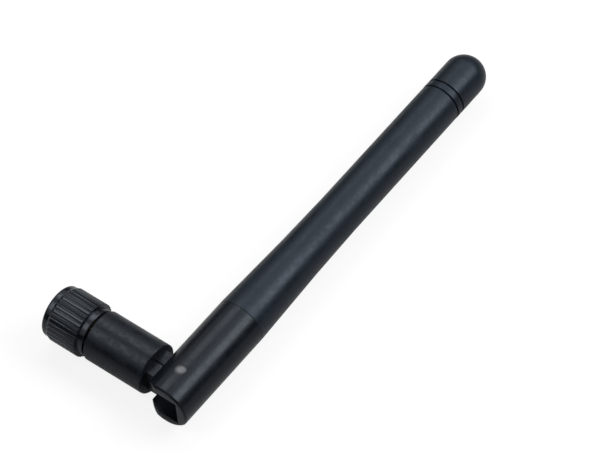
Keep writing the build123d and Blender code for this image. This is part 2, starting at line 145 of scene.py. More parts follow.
def maths(tree, operation, first, second, third=None, clamp=False):
    """A Math node: each value is a number or a socket. Gives its output."""
    node = tree.nodes.new("ShaderNodeMath")
    node.operation = operation
    node.use_clamp = clamp
    for socket, value in zip(node.inputs, (first, second, third)):
        if isinstance(value, (int, float)):
            socket.default_value = value
        elif value is not None:
            tree.links.new(value, socket)
    return node.outputs[0]


# %% [markdown]
# ### Moulded grain
#
# The grain is a spark-eroded texture on the steel mould, about a tenth of a millimetre across.
# Three noises make it: a fine one for the height, a middle one that mottles the gloss, and a
# broad one that drifts the gloss and the colour a little, as flow and cooling do on a real
# moulding.

# %% The moulded grain group
MOTTLES_PER_METRE = 1500.0
DRIFTS_PER_METRE = 260.0


def noise(tree, vector, scale, detail):
    """A Noise Texture's value. The scale may be a number or a socket."""
    node = tree.nodes.new("ShaderNodeTexNoise")
    node.inputs["Detail"].default_value = detail
    tree.links.new(vector, node.inputs["Vector"])
    if isinstance(scale, (int, float)):
        node.inputs["Scale"].default_value = scale
    else:
        tree.links.new(scale, node.inputs["Scale"])
    return node.outputs["Fac"]


grain_group, grain_in, grain_out = new_group(
    "moulded_grain",
    {
        "Vector": ("NodeSocketVector", None),
        "Grain per metre": ("NodeSocketFloat", 9000.0),
        "Roughness": ("NodeSocketFloat", 0.4),
        "Roughness drift": ("NodeSocketFloat", 0.06),
        "Mottle": ("NodeSocketFloat", 0.0),
        "Colour": ("NodeSocketColor", (0.02, 0.02, 0.02, 1.0)),
        "Colour drift": ("NodeSocketFloat", 0.3),
    },
    {"Colour": "NodeSocketColor", "Roughness": "NodeSocketFloat", "Height": "NodeSocketFloat"},
)
fine = noise(grain_group, grain_in["Vector"], grain_in["Grain per metre"], 2.0)
middle_size = noise(grain_group, grain_in["Vector"], MOTTLES_PER_METRE, 2.0)
broad = noise(grain_group, grain_in["Vector"], DRIFTS_PER_METRE, 3.0)
drift = maths(grain_group, "SUBTRACT", broad, 0.5)
grain_group.links.new(fine, grain_out["Height"])
rough_shift = maths(grain_group, "MULTIPLY", drift, grain_in["Roughness drift"])
mottle = maths(grain_group, "SUBTRACT", middle_size, 0.5)
mottle = maths(grain_group, "MULTIPLY_ADD", mottle, grain_in["Mottle"], rough_shift)
rough = maths(grain_group, "ADD", grain_in["Roughness"], mottle, clamp=True)
grain_group.links.new(rough, grain_out["Roughness"])
speckle = maths(grain_group, "SUBTRACT", fine, 0.5)
both = maths(grain_group, "ADD", drift, speckle)
shade = maths(grain_group, "MULTIPLY_ADD", both, grain_in["Colour drift"], 1.0)
tint = grain_group.nodes.new("ShaderNodeVectorMath")
tint.operation = "SCALE"
grain_group.links.new(grain_in["Colour"], tint.inputs[0])
grain_group.links.new(shade, tint.inputs["Scale"])
grain_group.links.new(tint.outputs["Vector"], grain_out["Colour"])
print("group", grain_group.name, "has", len(grain_group.nodes), "nodes")

# %% [markdown]
# ### Dust and handling
#
# A black plastic always carries a few pale specks, and its gloss is broken by faint smudges. The
# specks come from a Voronoi texture: only the cells whose random colour is high get a small dot
# at their centre. The smudges are a noise with its lower values cut away.

# %% The dust and handling group
CELLS_PER_METRE = 900.0
BARE_SHARE = 0.86
LARGEST_SPECK = 0.09
SMEARS_PER_METRE = 140.0
SMEAR_START = 0.52
SMEAR_SLOPE = 4.0
dust_group, dust_in, dust_out = new_group(
    "dust_and_handling",
    {
        "Vector": ("NodeSocketVector", None),
        "Specks": ("NodeSocketFloat", 0.3),
        "Smudges": ("NodeSocketFloat", 0.5),
    },
    {"Speck mask": "NodeSocketFloat", "Smudge mask": "NodeSocketFloat"},
)
cells = dust_group.nodes.new("ShaderNodeTexVoronoi")
cells.inputs["Scale"].default_value = CELLS_PER_METRE
dust_group.links.new(dust_in["Vector"], cells.inputs["Vector"])
split = dust_group.nodes.new("ShaderNodeSeparateColor")
dust_group.links.new(cells.outputs["Color"], split.inputs["Color"])
chosen = maths(dust_group, "GREATER_THAN", split.outputs[0], BARE_SHARE)
size = maths(dust_group, "MULTIPLY", split.outputs[1], LARGEST_SPECK)
inside = maths(dust_group, "LESS_THAN", cells.outputs["Distance"], size)
speck = maths(dust_group, "MULTIPLY", chosen, inside)
speck = maths(dust_group, "MULTIPLY", speck, dust_in["Specks"])
dust_group.links.new(speck, dust_out["Speck mask"])
smear = noise(dust_group, dust_in["Vector"], SMEARS_PER_METRE, 5.0)
smear = maths(dust_group, "SUBTRACT", smear, SMEAR_START)
smear = maths(dust_group, "MULTIPLY", smear, SMEAR_SLOPE, clamp=True)
smear = maths(dust_group, "MULTIPLY", smear, dust_in["Smudges"])
dust_group.links.new(smear, dust_out["Smudge mask"])
print("group", dust_group.name, "has", len(dust_group.nodes), "nodes")

# %% [markdown]
# ### Lathe lines
#
# The nut, the connector body and the contact are turned from brass bar, then plated. A turning
# tool leaves fine rings about the axis, so this group makes rings from the distance along that
# axis, broken up by a little noise.

# %% The lathe lines group
ACROSS_THE_LINES = 0.06
CLOUDS_PER_METRE = 900.0
lathe_group, lathe_in, lathe_out = new_group(
    "lathe_lines",
    {
        "Vector": ("NodeSocketVector", None),
        "Lines per metre": ("NodeSocketFloat", 16000.0),
        "Roughness": ("NodeSocketFloat", 0.2),
        "Roughness drift": ("NodeSocketFloat", 0.1),
    },
    {"Height": "NodeSocketFloat", "Roughness": "NodeSocketFloat", "Tarnish": "NodeSocketFloat"},
)
stretch = lathe_group.nodes.new("ShaderNodeMapping")
stretch.inputs["Scale"].default_value = (ACROSS_THE_LINES, 1.0, ACROSS_THE_LINES)
lathe_group.links.new(lathe_in["Vector"], stretch.inputs["Vector"])
rings = noise(lathe_group, stretch.outputs["Vector"], lathe_in["Lines per metre"], 2.0)
lathe_group.links.new(rings, lathe_out["Height"])
cloud = noise(lathe_group, lathe_in["Vector"], CLOUDS_PER_METRE, 4.0)
lathe_group.links.new(cloud, lathe_out["Tarnish"])
shift = maths(lathe_group, "SUBTRACT", rings, 0.5)
shift = maths(lathe_group, "MULTIPLY_ADD", shift, lathe_in["Roughness drift"],
              lathe_in["Roughness"])
lathe_group.links.new(shift, lathe_out["Roughness"])
print("group", lathe_group.name, "has", len(lathe_group.nodes), "nodes")

# %% [markdown]
# ## Materials
#
# Each material holds its own Principled shader, and the groups feed it. Values that are the same
# all over, such as the specular level, are set on the shader itself.

# %% A plastic material from the groups
def place_group(tree, group, values):
    """A group node with its Vector on Object coordinates, and its other inputs set."""
    node = tree.nodes.new("ShaderNodeGroup")
    node.node_tree = group
    where = tree.nodes.new("ShaderNodeTexCoord")
    tree.links.new(where.outputs["Object"], node.inputs["Vector"])
    for label, value in values.items():
        node.inputs[label].default_value = value
    return node


def bump(tree, height, distance, principled):
    """A Bump node from a height to the shader's Normal; the distance is in metres."""
    node = tree.nodes.new("ShaderNodeBump")
    node.inputs["Strength"].default_value = 1.0
    node.inputs["Distance"].default_value = distance
    tree.links.new(height, node.inputs["Height"])
    tree.links.new(node.outputs["Normal"], principled.inputs["Normal"])


def plastic(name, colour, roughness, grain, depth, drift=0.06, specks=0.3, smudges=0.06,
            mottle=0.0, level=0.5, sheen=(1.0, 1.0, 1.0)):
    """A moulded plastic: grain is in grains per metre and depth is the grain's height in metres."""
    material = bpy.data.materials.new(name)
    material.use_nodes = True
    tree = material.node_tree
    shader = tree.nodes["Principled BSDF"]
    shader.inputs["Specular IOR Level"].default_value = level
    shader.inputs["Specular Tint"].default_value = (*sheen, 1.0)
    moulded = place_group(tree, grain_group, {
        "Grain per metre": grain,
        "Roughness": roughness,
        "Roughness drift": drift,
        "Mottle": mottle,
        "Colour": (*colour, 1.0),
    })
    worn = place_group(tree, dust_group, {"Specks": specks, "Smudges": smudges})
    speckled = tree.nodes.new("ShaderNodeMix")
    speckled.data_type = "RGBA"
    speckled.inputs["B"].default_value = (0.16, 0.16, 0.15, 1.0)
    tree.links.new(worn.outputs["Speck mask"], speckled.inputs["Factor"])
    tree.links.new(moulded.outputs["Colour"], speckled.inputs["A"])
    tree.links.new(speckled.outputs["Result"], shader.inputs["Base Color"])
    dulled = maths(tree, "ADD", moulded.outputs["Roughness"], worn.outputs["Smudge mask"],
                   clamp=True)
    tree.links.new(dulled, shader.inputs["Roughness"])
    bump(tree, moulded.outputs["Height"], depth, shader)
    return material


# %% [markdown]
# The antenna's black is a slightly blue, carbon-filled plastic. The radome and the cap come from
# a grained mould and look matt. The fork, which is a separate moulding, is smoother and keeps a
# sharper highlight. The barrel is matt again, and the grip is almost polished on its plain bands.

# %% The plastics of the antenna
BLACK = (0.0048, 0.0065, 0.0096)
SLATE = (0.0066, 0.0100, 0.0146)
BLUE_SHEEN = (0.70, 0.83, 1.0)
GREY_SHEEN = (0.78, 0.88, 1.0)
finishes = {
    "radome_plastic": plastic("radome_plastic", SLATE, 0.38, 5200, 0.0000015, level=0.22,
                              sheen=BLUE_SHEEN, drift=0.25, smudges=0.12, mottle=0.25),
    "cap_plastic": plastic("cap_plastic", SLATE, 0.38, 5200, 0.0000015, level=0.21,
                           sheen=BLUE_SHEEN, drift=0.25, smudges=0.12, mottle=0.25),
    "fork_plastic": plastic("fork_plastic", BLACK, 0.27, 6500, 0.0000006, level=0.19,
                            sheen=GREY_SHEEN, drift=0.20, smudges=0.08, mottle=0.2),
    "barrel_plastic": plastic("barrel_plastic", BLACK, 0.34, 3600, 0.0000030, level=0.20,
                              sheen=GREY_SHEEN, drift=0.25, smudges=0.14, mottle=0.5),
    "grip_plastic": plastic("grip_plastic", BLACK, 0.20, 8000, 0.0000003, level=0.31,
                            sheen=GREY_SHEEN, drift=0.12, smudges=0.08),
    "heat_shrink": plastic("heat_shrink", (0.012, 0.012, 0.012), 0.5, 6000, 0.000004),
    "cable_jacket": plastic("cable_jacket", (0.010, 0.010, 0.011), 0.32, 8000, 0.000001),
    "gasket_rubber": plastic("gasket_rubber", (0.016, 0.016, 0.016), 0.6, 7000, 0.000005),
    "bush_plastic": plastic("bush_plastic", (0.10, 0.10, 0.10), 0.4, 9000, 0.000002, specks=0.0),
    "insulator_white": plastic("insulator_white", (0.78, 0.78, 0.75), 0.36, 9000, 0.000002,
                               specks=0.0),
    "core_dielectric": plastic("core_dielectric", (0.76, 0.76, 0.73), 0.4, 9000, 0.000002,
                               specks=0.0),
    "spacer_foam": plastic("spacer_foam", (0.70, 0.70, 0.68), 0.8, 3000, 0.00003, specks=0.0),
}
print("plastics", sorted(finishes))

# %% [markdown]
# The metals share one recipe: a base colour that tarnishes a little in patches, full metallic,
# and lathe lines in both the height and the roughness.

# %% The metals
PATCH_START = 0.45
PATCH_SLOPE = 2.5


def metal(name, colour, dark, roughness, depth):
    """A turned metal: dark is the colour of its tarnished patches, depth its lines' height."""
    material = bpy.data.materials.new(name)
    material.use_nodes = True
    tree = material.node_tree
    shader = tree.nodes["Principled BSDF"]
    shader.inputs["Metallic"].default_value = 1.0
    turned_lines = place_group(tree, lathe_group, {"Roughness": roughness})
    blend = tree.nodes.new("ShaderNodeMix")
    blend.data_type = "RGBA"
    blend.inputs["A"].default_value = (*colour, 1.0)
    blend.inputs["B"].default_value = (*dark, 1.0)
    patch = maths(tree, "SUBTRACT", turned_lines.outputs["Tarnish"], PATCH_START)
    patch = maths(tree, "MULTIPLY", patch, PATCH_SLOPE, clamp=True)
    tree.links.new(patch, blend.inputs["Factor"])
    tree.links.new(blend.outputs["Result"], shader.inputs["Base Color"])
    tree.links.new(turned_lines.outputs["Roughness"], shader.inputs["Roughness"])
    bump(tree, turned_lines.outputs["Height"], depth, shader)
    return material


for name, colour, dark, roughness, depth in (
    ("plated_brass", (0.86, 0.66, 0.31), (0.74, 0.52, 0.22), 0.20, 0.0000012),
    ("contact_gold", (0.93, 0.70, 0.30), (0.86, 0.60, 0.24), 0.15, 0.0000006),
    ("spring_bronze", (0.62, 0.42, 0.24), (0.45, 0.28, 0.16), 0.30, 0.000001),
    ("radiator_brass", (0.72, 0.53, 0.25), (0.56, 0.38, 0.17), 0.32, 0.000001),
    ("pin_steel", (0.056, 0.058, 0.062), (0.040, 0.041, 0.044), 0.22, 0.0000006),
):
    finishes[name] = metal(name, colour, dark, roughness, depth)
print("finishes", len(finishes))

# %% [markdown]
# Every measured node gets the finish that its record names. Most inner pieces, such as the
# radiator, the cable and the ferrule, stay as they were measured and are done with this step.
# The pieces that show are made again below, with rounder curves and finer details.

# %% Give every measured node its finish
for entry in frame["record"]["subparts"]:
    node = frame["nodes"][entry["node"]]
    node.data.materials.clear()
    node.data.materials.append(finishes[entry["material_slot"]])

# %% [markdown]
# ## Tools for turned and cut pieces
#
# Almost everything here is round, so a piece starts as an outline: a chain of corners, each a
# distance along the axis and a distance out from it. A third number rounds that corner, with the
# vertex bevel, before the spin turns the outline into a solid. Rounding the outline is cheaper and
# cleaner than bevelling the finished solid.

# %% Outlines and spins
WELD = 0.0005
LARGE_ROUND = 1
FEW_SEGMENTS = 6
MANY_SEGMENTS = 28


def outline(axis, corners, closed=True):
    """A bmesh with one chain of edges: (along, out) or (along, out, rounding) corners, in mm."""
    bm = bmesh.new()
    verts = []
    for corner in corners:
        place = axis["origin"] + axis["along"] * corner[0] + axis["out"] * corner[1]
        verts.append(bm.verts.new(place))
    pairs = list(zip(verts, verts[1:]))
    if closed:
        pairs.append((verts[-1], verts[0]))
    for pair in pairs:
        bm.edges.new(pair)
    for vert, corner in zip(verts, corners):
        if len(corner) > 2:
            segments = FEW_SEGMENTS if corner[2] < LARGE_ROUND else MANY_SEGMENTS
            bmesh.ops.bevel(
                bm, geom=[vert], offset=corner[2], offset_type="OFFSET", segments=segments,
                profile=0.5, affect="VERTICES", material=-1,
            )
    return bm


def turned(axis, corners, steps=128, closed=True):
    """A solid of revolution about the axis, as a bmesh in millimetres."""
    bm = outline(axis, corners, closed)
    bmesh.ops.spin(
        bm, geom=bm.verts[:] + bm.edges[:], cent=axis["origin"], axis=axis["along"],
        angle=2 * pi, steps=steps, use_merge=True,
    )
    bmesh.ops.remove_doubles(bm, verts=bm.verts[:], dist=WELD)
    bmesh.ops.recalc_face_normals(bm, faces=bm.faces[:])
    return bm


# %% [markdown]
# The fork, the barrel and the grip are not purely round: they are slotted, drilled and knurled.
# There a cutter is made as a solid of its own and taken away with a Boolean modifier, as a
# milling tool would do it. The result goes back to a bmesh so that its sharp edges can be
# bevelled.
#
# One limit to know: with the clamp on, the shortest edge that is bevelled sets the width of all
# the bevels of its piece. A Boolean leaves some very short edges, so the last bevels of the fork,
# the barrel and the grip come out a few micrometres wide or less, and those edges look sharp. The
# roundings in the outlines, and the fork's lips, chamfer and ears, are made without the clamp.

# %% Cutting, joining and softening
def to_object(bm, name):
    """A bmesh as an object, still in millimetres; the bmesh is freed."""
    mesh = bpy.data.meshes.new(name)
    bm.to_mesh(mesh)
    bm.free()
    thing = bpy.data.objects.new(name, mesh)
    bpy.context.scene.collection.objects.link(thing)
    return thing


def combine(bm, tool, operation):
    """The bmesh after a Boolean with another: DIFFERENCE or UNION."""
    body = to_object(bm, "blank")
    other = to_object(tool, "tool")
    modifier = body.modifiers.new("cut", "BOOLEAN")
    modifier.operation = operation
    modifier.solver = "EXACT"
    modifier.object = other
    graph = bpy.context.evaluated_depsgraph_get()
    mesh = bpy.data.meshes.new_from_object(body.evaluated_get(graph))
    bpy.data.objects.remove(body)
    bpy.data.objects.remove(other)
    result = bmesh.new()
    result.from_mesh(mesh)
    bpy.data.meshes.remove(mesh)
    bmesh.ops.remove_doubles(result, verts=result.verts[:], dist=WELD)
    bmesh.ops.dissolve_degenerate(result, edges=result.edges[:], dist=WELD)
    return result


def soften(bm, width, sharpest=35.0, segments=2, keep=lambda edge: True, clamp=True):
    """Bevels the outward edges that turn by more than an angle; gives how many it chose."""
    chosen_edges = [
        edge for edge in bm.edges
        if len(edge.link_faces) == 2
        and edge.is_convex
        and edge.calc_face_angle(0) > radians(sharpest)
        and keep(edge)
    ]
    bmesh.ops.bevel(
        bm, geom=chosen_edges, offset=width, offset_type="OFFSET", segments=segments,
        profile=0.5, affect="EDGES", clamp_overlap=clamp, loop_slide=True, material=-1,
    )
    return len(chosen_edges)


# %% [markdown]
# A finished piece is scaled to metres, shaded smooth with its sharp edges kept, and tied to a
# body so that it moves with the hinge or the swivel. It also hides the measured nodes it stands
# for. The weighted normals keep flat faces flat beside their bevels.

# %% Finishing a piece
made = []


def finish_piece(bm, name, body, slot, stands_for=(), sharp=40.0):
    """Turns a bmesh in millimetres into a finished piece of the object."""
    bmesh.ops.scale(bm, vec=(MM, MM, MM), verts=bm.verts[:])
    for face in bm.faces:
        face.smooth = True
    for edge in bm.edges:
        if len(edge.link_faces) == 2:
            edge.smooth = edge.calc_face_angle(0) < radians(sharp)
    piece = to_object(bm, name)
    piece.data.materials.append(finishes[slot])
    weighted = piece.modifiers.new("even shading", "WEIGHTED_NORMAL")
    weighted.keep_sharp = True
    if body:
        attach(piece, body)
    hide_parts(*stands_for)
    made.append(piece)
    print(name, "faces", len(piece.data.polygons))
    return piece


# %% [markdown]
# ## The blade
#
# The radome is a thin tube, drawn in from the fork's width to the tip's over its first third. A
# long blend lets the taper run out without a visible edge, and the rim at the seam is barely
# rounded, so the joint with the fork shows as one fine dark line.

# %% Radome tube
tube_low, tube_high = extent("radome_tube")
cap_low, cap_high = extent("tip_cap")
fork_low, fork_high = extent("hinge_fork")
seam = tube_low.x
fork_radius = tube_high.z
tube_end = tube_high.x
tube_radius = 3.90
TUBE_WALL = 0.90
SEAM_WALL = 1.20
TAPER_LAND = 0.50
TAPER_LENGTH = 21.20
TAPER_BLEND = 5.45
SEAM_ROUND = 0.07
SPIGOT_GAP = 0.02
taper_start = seam + TAPER_LAND
taper_end = taper_start + TAPER_LENGTH
print("seam at", round(seam, 3), "tube ends at", round(tube_end, 3))
print("radius at the seam", round(fork_radius, 3))

radome = turned(BLADE, [
    (seam, fork_radius, SEAM_ROUND),
    (taper_start, fork_radius),
    (taper_end, tube_radius, TAPER_BLEND),
    (tube_end, tube_radius, 0.05),
    (tube_end, tube_radius - TUBE_WALL),
    (fork_high.x + SPIGOT_GAP, tube_radius - TUBE_WALL),
    (fork_high.x + SPIGOT_GAP, fork_radius - SEAM_WALL),
    (seam, fork_radius - SEAM_WALL),
], steps=160)
finish_piece(radome, "radome_shell", "blade", "radome_plastic", ["radome_tube"])

# %% [markdown]
# The cap closes the tube with a half dome. Two fine grooves run round it: the first is the seam
# itself, where the cap's shoulder stands off the tube, and the second is moulded for looks. The
# dome is a square corner rounded by its full radius.

# %% Tip cap
cap_radius = cap_high.z
crown = cap_high.x
LINE_WIDTH = 0.33
LINE_DEPTH = 0.32
LINE_PITCH = 1.53
CAP_BORE = 2.20
CAP_CROWN = 2.40
spigot_radius = tube_radius - TUBE_WALL - SPIGOT_GAP
line_floor = cap_radius - LINE_DEPTH
second_line = tube_end + LINE_PITCH
cap = turned(BLADE, [
    (crown, 0),
    (crown, cap_radius, cap_radius - 0.001),
    (second_line + LINE_WIDTH, cap_radius, 0.05),
    (second_line + LINE_WIDTH, line_floor, 0.08),
    (second_line, line_floor, 0.08),
    (second_line, cap_radius, 0.05),
    (tube_end + LINE_WIDTH, cap_radius, 0.05),
    (tube_end + LINE_WIDTH, line_floor, 0.08),
    (tube_end, line_floor),
    (tube_end, spigot_radius),
    (cap_low.x, spigot_radius, 0.15),
    (cap_low.x, CAP_BORE),
    (crown - CAP_CROWN, CAP_BORE),
    (crown - CAP_CROWN, 0),
], steps=160, closed=False)
finish_piece(cap, "domed_cap", "blade", "cap_plastic", ["tip_cap"])

# %% [markdown]
# ## The hinge fork
#
# The fork starts as a turned plug, like the blade. A slot for the tang is then milled through it
# from the open side. The slot's far corner is round, so the tang's round head can turn in it, and
# the wall beyond it stays closed. The ears' free corners are rounded about the pins, so that they
# swing past the barrel. Last come the pin holes and the cable's way.

# %% Fork blank
FORK_CHAMFER = 0.30
SLOT_HALF = 2.65
SWING_HALF = 2.72
CABLE_WAY = 0.85
FORK_BORE = 2.20
FORK_BORE_START = 8.0
BARREL_TO_FORK = 0.80
EAR_CLEARANCE = 0.20
pivot_to_barrel = BARREL_TO_FORK + fork_radius
ear_swing = pivot_to_barrel - EAR_CLEARANCE
fork_end = fork_low.x
fork = turned(BLADE, [
    (fork_end, 0),
    (fork_end, fork_radius),
    (seam, fork_radius, SEAM_ROUND),
    (seam, fork_radius - SEAM_WALL - SPIGOT_GAP),
    (fork_high.x, fork_radius - SEAM_WALL - SPIGOT_GAP, 0.2),
    (fork_high.x, FORK_BORE),
    (FORK_BORE_START, FORK_BORE),
    (FORK_BORE_START, 0),
], steps=96, closed=False)
print("fork runs from", round(fork_end, 2), "to", round(fork_high.x, 2), "mm from the pins")


# %% Cutters for the fork
def prism(corners, low, high):
    """A prism along Z: its (x, y) corners are measured from the pins and may be rounded."""
    bm = outline(BLADE, corners)
    bmesh.ops.contextual_create(bm, geom=bm.edges[:])
    bmesh.ops.translate(bm, vec=(0, 0, low), verts=bm.verts[:])
    lifted = bmesh.ops.extrude_face_region(bm, geom=bm.faces[:])
    risen = [part for part in lifted["geom"] if isinstance(part, bmesh.types.BMVert)]
    bmesh.ops.translate(bm, vec=(0, 0, high - low), verts=risen)
    bmesh.ops.recalc_face_normals(bm, faces=bm.faces[:])
    return bm


def rod(radius, start, along, length, segments=64):
    """A plain round rod from a start point, in millimetres."""
    bm = bmesh.new()
    turn = Vector((0, 0, 1)).rotation_difference(Vector(along)).to_matrix().to_4x4()
    middle = Vector(start) + Vector(along) * (length / 2)
    bmesh.ops.create_cone(
        bm, cap_ends=True, segments=segments, radius1=radius, radius2=radius, depth=length,
        matrix=Matrix.Translation(middle) @ turn,
    )
    return bm


OUTSIDE = 20
ABOVE = 9
slot_cutter = prism([(-OUTSIDE, -SWING_HALF), (SWING_HALF, -SWING_HALF, SWING_HALF),
                     (SWING_HALF, OUTSIDE), (-OUTSIDE, OUTSIDE)], -SLOT_HALF, SLOT_HALF)
ear_cutter = bmesh.new()
quad = [ear_cutter.verts.new(pivot + Vector(c)) for c in (
    (0, ear_swing, -ABOVE), (0, OUTSIDE, -ABOVE), (0, OUTSIDE, ABOVE), (0, ear_swing, ABOVE))]
ear_cutter.faces.new(quad)
bmesh.ops.spin(ear_cutter, geom=ear_cutter.verts[:] + ear_cutter.edges[:] + ear_cutter.faces[:],
               cent=pivot, axis=(0, 0, 1), angle=pi / 2, steps=36)
bmesh.ops.recalc_face_normals(ear_cutter, faces=ear_cutter.faces[:])
print("slot is", 2 * SLOT_HALF, "mm wide")

# %% Cut the fork and soften it
pin_low, pin_high = extent("hinge_pin_upper")
pin_radius = pin_high.x
NEAR = 0.01
LIP_ROUND = 0.40
EAR_ROUND = 0.25
SOFT_EDGE = 0.06
PIN_PRESS_GAP = 0.01
fork = combine(fork, slot_cutter, "DIFFERENCE")


def at_the_slot_lips(edge):
    """The long edges where the slot's faces run out through the fork's open side."""
    return all(
        abs(abs(vert.co.z) - SLOT_HALF) < NEAR and vert.co.y - pivot.y > SLOT_HALF
        for vert in edge.verts
    ) and edge.calc_length() > 2 * SLOT_HALF


def round_the_open_end(edge):
    """The outer edge of the fork's open end."""
    return all(
        abs(vert.co.x - fork_end) < NEAR and (vert.co - pivot).yz.length > fork_radius - 0.2
        for vert in edge.verts
    )


def on_the_ears(edge):
    """The ears' inner rim, where the slot meets the surface that swings past the barrel's end."""
    return all(
        abs((vert.co - pivot).xy.length - ear_swing) < NEAR and vert.co.x < 0.1
        and abs(vert.co.z) < SLOT_HALF + NEAR
        for vert in edge.verts
    )


def far_from_pin(edge):
    """Leaves out the rim of the pin's hole, which stays crisp round the pin."""
    return (edge.verts[0].co - pivot).xy.length > pin_radius + 0.1


print("rounded lips", soften(fork, LIP_ROUND, segments=5, keep=at_the_slot_lips,
                               clamp=False))
print("chamfered", soften(fork, FORK_CHAMFER, segments=1, keep=round_the_open_end,
                          clamp=False))
fork = combine(fork, ear_cutter, "DIFFERENCE")
print("rounded ears", soften(fork, EAR_ROUND, sharpest=20.0, segments=4, keep=on_the_ears,
                             clamp=False))
pin_hole = rod(pin_radius + PIN_PRESS_GAP, pivot - Vector((0, 0, ABOVE)), (0, 0, 1), 2 * ABOVE)
fork = combine(fork, pin_hole, "DIFFERENCE")
cable_hole = rod(CABLE_WAY, pivot, (1, 0, 0), FORK_BORE_START + 1, 32)
fork = combine(fork, cable_hole, "DIFFERENCE")
print("softened edges", soften(fork, SOFT_EDGE, keep=far_from_pin))
finish_piece(fork, "slotted_fork", "blade", "fork_plastic", ["hinge_fork"])

# %% [markdown]
# ## The hinge pins
#
# Each ear holds a stub pin whose outer end is a shallow dome. The dome is part of a sphere, so
# its outline is a short chain of points on that arc.

# %% Stub pins
CROWN_SLOPE = radians(12)
CROWN_STEPS = 8
sphere = pin_radius / sin(CROWN_SLOPE)
for name, side in (("hinge_pin_upper", 1), ("hinge_pin_lower", -1)):
    pin_axis = {"origin": pivot, "along": Vector((0, 0, side)), "out": Vector((1, 0, 0))}
    slopes = [CROWN_SLOPE * k / CROWN_STEPS for k in range(CROWN_STEPS + 1)]
    dome = [(pin_high.z - sphere * (1 - cos(slope)), sphere * sin(slope)) for slope in slopes]
    pin = turned(pin_axis, dome + [(pin_low.z, pin_radius, SOFT_EDGE), (pin_low.z, 0)],
                 steps=64, closed=False)
    finish_piece(pin, "domed_" + name[6:], "blade", "pin_steel", [name])

# %% [markdown]
# ## The base barrel and its tang
#
# The barrel is a turned cup, open towards the plug, and the tang is a flat bar with a round head
# that stands on its closed end. They are one moulding, so the two solids are joined with a union
# before the cable's slot and the pin holes are cut.

# %% Barrel blank
barrel_high = extent("base_barrel")[1]
barrel_front = -barrel_high.y
barrel_radius = barrel_high.z
barrel_end = pivot_depth - pivot_to_barrel
shoulder = -extent("friction_washer")[0].y
FERRULE_END_GAP = 1.0
room_end = FERRULE_END_GAP - extent("crimp_ferrule")[0].y
TANG_HALF = 2.64
TANG_THICK_HALF = 2.60
SWIVEL_BORE = 3.55
FERRULE_ROOM = 2.005
BARREL_FRONT_ROUND = 0.25
BARREL_END_ROUND = 0.32
barrel = turned(PLUG, [
    (barrel_front, SWIVEL_BORE, 0.10),
    (barrel_front, barrel_radius, BARREL_FRONT_ROUND),
    (barrel_end, barrel_radius, BARREL_END_ROUND),
    (barrel_end, CABLE_WAY),
    (room_end, CABLE_WAY),
    (room_end, FERRULE_ROOM),
    (shoulder, FERRULE_ROOM),
    (shoulder, SWIVEL_BORE),
], steps=96)
print("barrel from", round(barrel_front, 2), "to", round(barrel_end, 2))
print("barrel radius", round(barrel_radius, 2))

# %% Tang, joined and cut
INTO_BARREL = 0.8
PIN_RUNNING_GAP = 0.04
root = pivot_to_barrel + INTO_BARREL
tang = prism([(-TANG_HALF, root), (-TANG_HALF, -TANG_HALF, TANG_HALF - 0.001),
              (TANG_HALF, -TANG_HALF, TANG_HALF - 0.001), (TANG_HALF, root)],
             -TANG_THICK_HALF, TANG_THICK_HALF)
barrel = combine(barrel, tang, "UNION")
SLOT_TOP = 3.75
PAST_TANG = 6
cable_slot = prism([(-CABLE_WAY, SLOT_TOP), (PAST_TANG, SLOT_TOP), (PAST_TANG, -PAST_TANG),
                    (-CABLE_WAY, -PAST_TANG)], -CABLE_WAY, CABLE_WAY)
barrel = combine(barrel, cable_slot, "DIFFERENCE")
pin_hole = rod(pin_radius + PIN_RUNNING_GAP, pivot - Vector((0, 0, 5)), (0, 0, 1), 10)
barrel = combine(barrel, pin_hole, "DIFFERENCE")
GROOVE_HALF = 0.20
GROOVE_DEEP = 0.25
GROOVE_LENGTH = 2.10
groove_foot = pivot_to_barrel - GROOVE_LENGTH
for side in (-1, 1):
    groove = prism([(-GROOVE_HALF, pivot_to_barrel), (GROOVE_HALF, pivot_to_barrel),
                    (GROOVE_HALF, groove_foot), (-GROOVE_HALF, groove_foot)],
                   side * TANG_THICK_HALF - GROOVE_DEEP, side * TANG_THICK_HALF + GROOVE_DEEP)
    barrel = combine(barrel, groove, "DIFFERENCE")
print("softened edges", soften(barrel, SOFT_EDGE))
finish_piece(barrel, "barrel_and_tang", "base", "barrel_plastic", ["base_barrel"])

# %% [markdown]
# ## The grip
#
# The grip is moulded over the nut. In front is a smooth, round rim, then a chamfer up to the
# knurl, which is cut by 36 round-bottomed grooves, and behind it a plain collar. One long round
# cutter, repeated about the axis, makes the whole knurl in a single Boolean.

